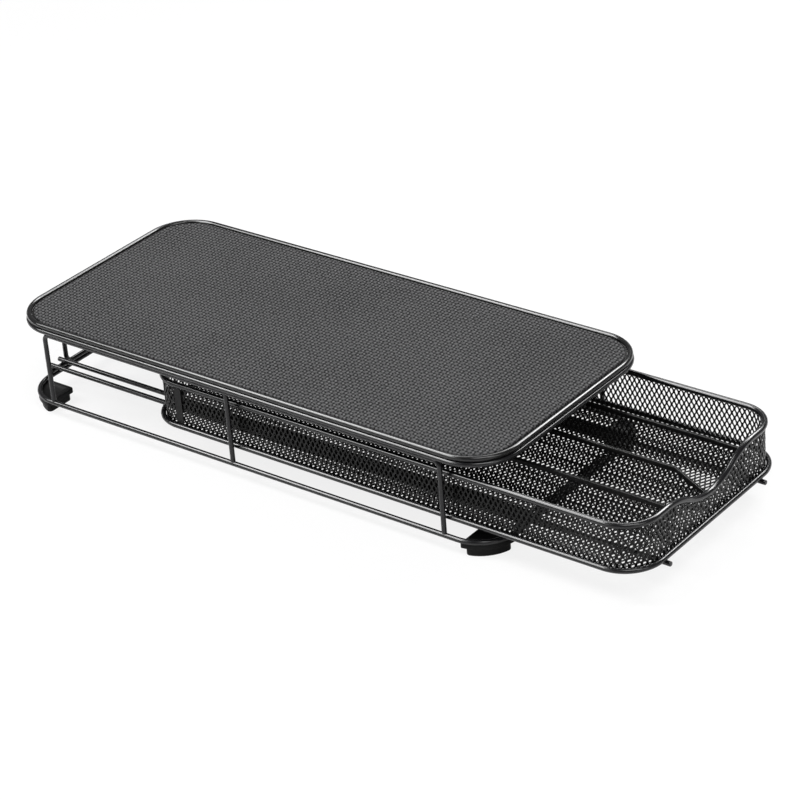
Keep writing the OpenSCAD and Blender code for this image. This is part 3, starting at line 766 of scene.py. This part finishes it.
def paleGround(name, look):
    # white where it is seen, with a faint shadow of the part
    material, graph, shader = newMaterial(name)
    shader.inputs["Base Color"].default_value = (*look["colour"], 1)
    shader.inputs["Roughness"].default_value = look["rough"]
    shader.inputs["Specular IOR Level"].default_value = look["shine"]
    seen = seenBy(graph, look["glossy"])
    white = graph.add("ShaderNodeEmission", {}, {"Color": (1, 1, 1, 1), "Strength": 1.0})
    away = graph.add("ShaderNodeVectorMath", dict(operation="LENGTH"), {0: objectPlace(graph)}, out="Value")
    shown = (look["shown"] + (away - look["near"]).most(0) * look["fade"]).least(1)
    both = graph.add("ShaderNodeMixShader", {}, {0: seen * shown, 1: Wire(graph, shader.outputs[0]), 2: white})
    graph.link(both, material.node_tree.nodes["Material Output"].inputs["Surface"])
    return material


floorMesh = bpy.data.meshes.new("floor")
reach = groundLook["reach"]
floorMesh.from_pydata([(-reach, -reach, 0), (reach, -reach, 0), (reach, reach, 0), (-reach, reach, 0)],
                      [], [(0, 1, 2, 3)])
floor = bpy.data.objects.new("floor", floorMesh)
bpy.context.scene.collection.objects.link(floor)
floorMesh.materials.append(paleGround("paleGround", groundLook))

studio = dict(light=(0.17, 0.17, 0.172), glossy=0.1)
world = bpy.data.worlds.new("studio")
bpy.context.scene.world = world
world.use_nodes = True
sky = Graph(world.node_tree)
background = world.node_tree.nodes["Background"]
sky.link(mixColour(sky, seenBy(sky, studio["glossy"]), studio["light"], (1, 1, 1)), background.inputs["Color"])


def softLight(name, at, aim, size, power, glossOnly=False):
    data = bpy.data.lights.new(name, "AREA")
    data.shape, data.size, data.size_y, data.energy = "RECTANGLE", size[0], size[1], power
    lamp = bpy.data.objects.new(name, data)
    lamp.visible_diffuse = not glossOnly
    lamp.visible_camera = False
    lamp.location = at
    lamp.rotation_euler = (Vector(aim) - Vector(at)).to_track_quat("-Z", "Y").to_euler()
    bpy.context.scene.collection.objects.link(lamp)


# in metres and watts, and the two that are glossOnly show in reflections alone, as the bright lines along the wires
lamps = dict(
    softTop=dict(at=(0.75, -0.5, 1.3), aim=(0, 0, 0), size=(0.8, 0.8), power=11.5),
    softFront=dict(at=(1.7, -0.5, 0.9), aim=(0.1, 0, 0), size=(0.8, 0.5), power=6),
    softSide=dict(at=(-0.4, -1.7, 0.9), aim=(0, 0, 0), size=(0.9, 0.5), power=4),
    stripRear=dict(at=(-0.8, -0.45, 0.95), aim=(0, 0, 0), size=(0.2, 1.1), power=12),
    stripFar=dict(at=(0.2, 0.93, 0.95), aim=(0, 0, 0), size=(0.9, 0.2), power=11),
    glossRear=dict(at=(-0.65, -0.5, 1.04), aim=(-0.65, 0, 0), size=(0.75, 1.6), power=48, glossOnly=True),
    glossFar=dict(at=(-0.2, 1.0, 1.12), aim=(-0.2, 1.0, 0), size=(1.1, 0.5), power=20, glossOnly=True))
for name, given in lamps.items():
    softLight(name, **given)

# in metres, radians and, for the lens and the sensor, millimetres
eye = dict(at=(0.95478, -1.14365, 0.85898), azimuth=-0.87993, lift=0.50855, roll=-0.08164, lens=129.36, sensor=36,
           clip=(0.05, 50))
level = math.cos(eye["lift"])
ahead = Vector((-level * math.cos(eye["azimuth"]), -level * math.sin(eye["azimuth"]), -math.sin(eye["lift"])))
right = ahead.cross(Vector((0, 0, 1))).normalized()
up = right.cross(ahead)
turnedRight = right * math.cos(eye["roll"]) + up * math.sin(eye["roll"])
turnedUp = up * math.cos(eye["roll"]) - right * math.sin(eye["roll"])
cameraData = bpy.data.cameras.new("camera")
cameraData.lens, cameraData.sensor_width = eye["lens"], eye["sensor"]
cameraData.clip_start, cameraData.clip_end = eye["clip"]
camera = bpy.data.objects.new("camera", cameraData)
camera.matrix_world = Matrix((
    (turnedRight.x, turnedUp.x, -ahead.x, eye["at"][0]), (turnedRight.y, turnedUp.y, -ahead.y, eye["at"][1]),
    (turnedRight.z, turnedUp.z, -ahead.z, eye["at"][2]), (0, 0, 0, 1)))
bpy.context.scene.collection.objects.link(camera)
bpy.context.scene.camera = camera
bpy.context.scene.view_settings.view_transform = "Standard"
print("light and camera set")
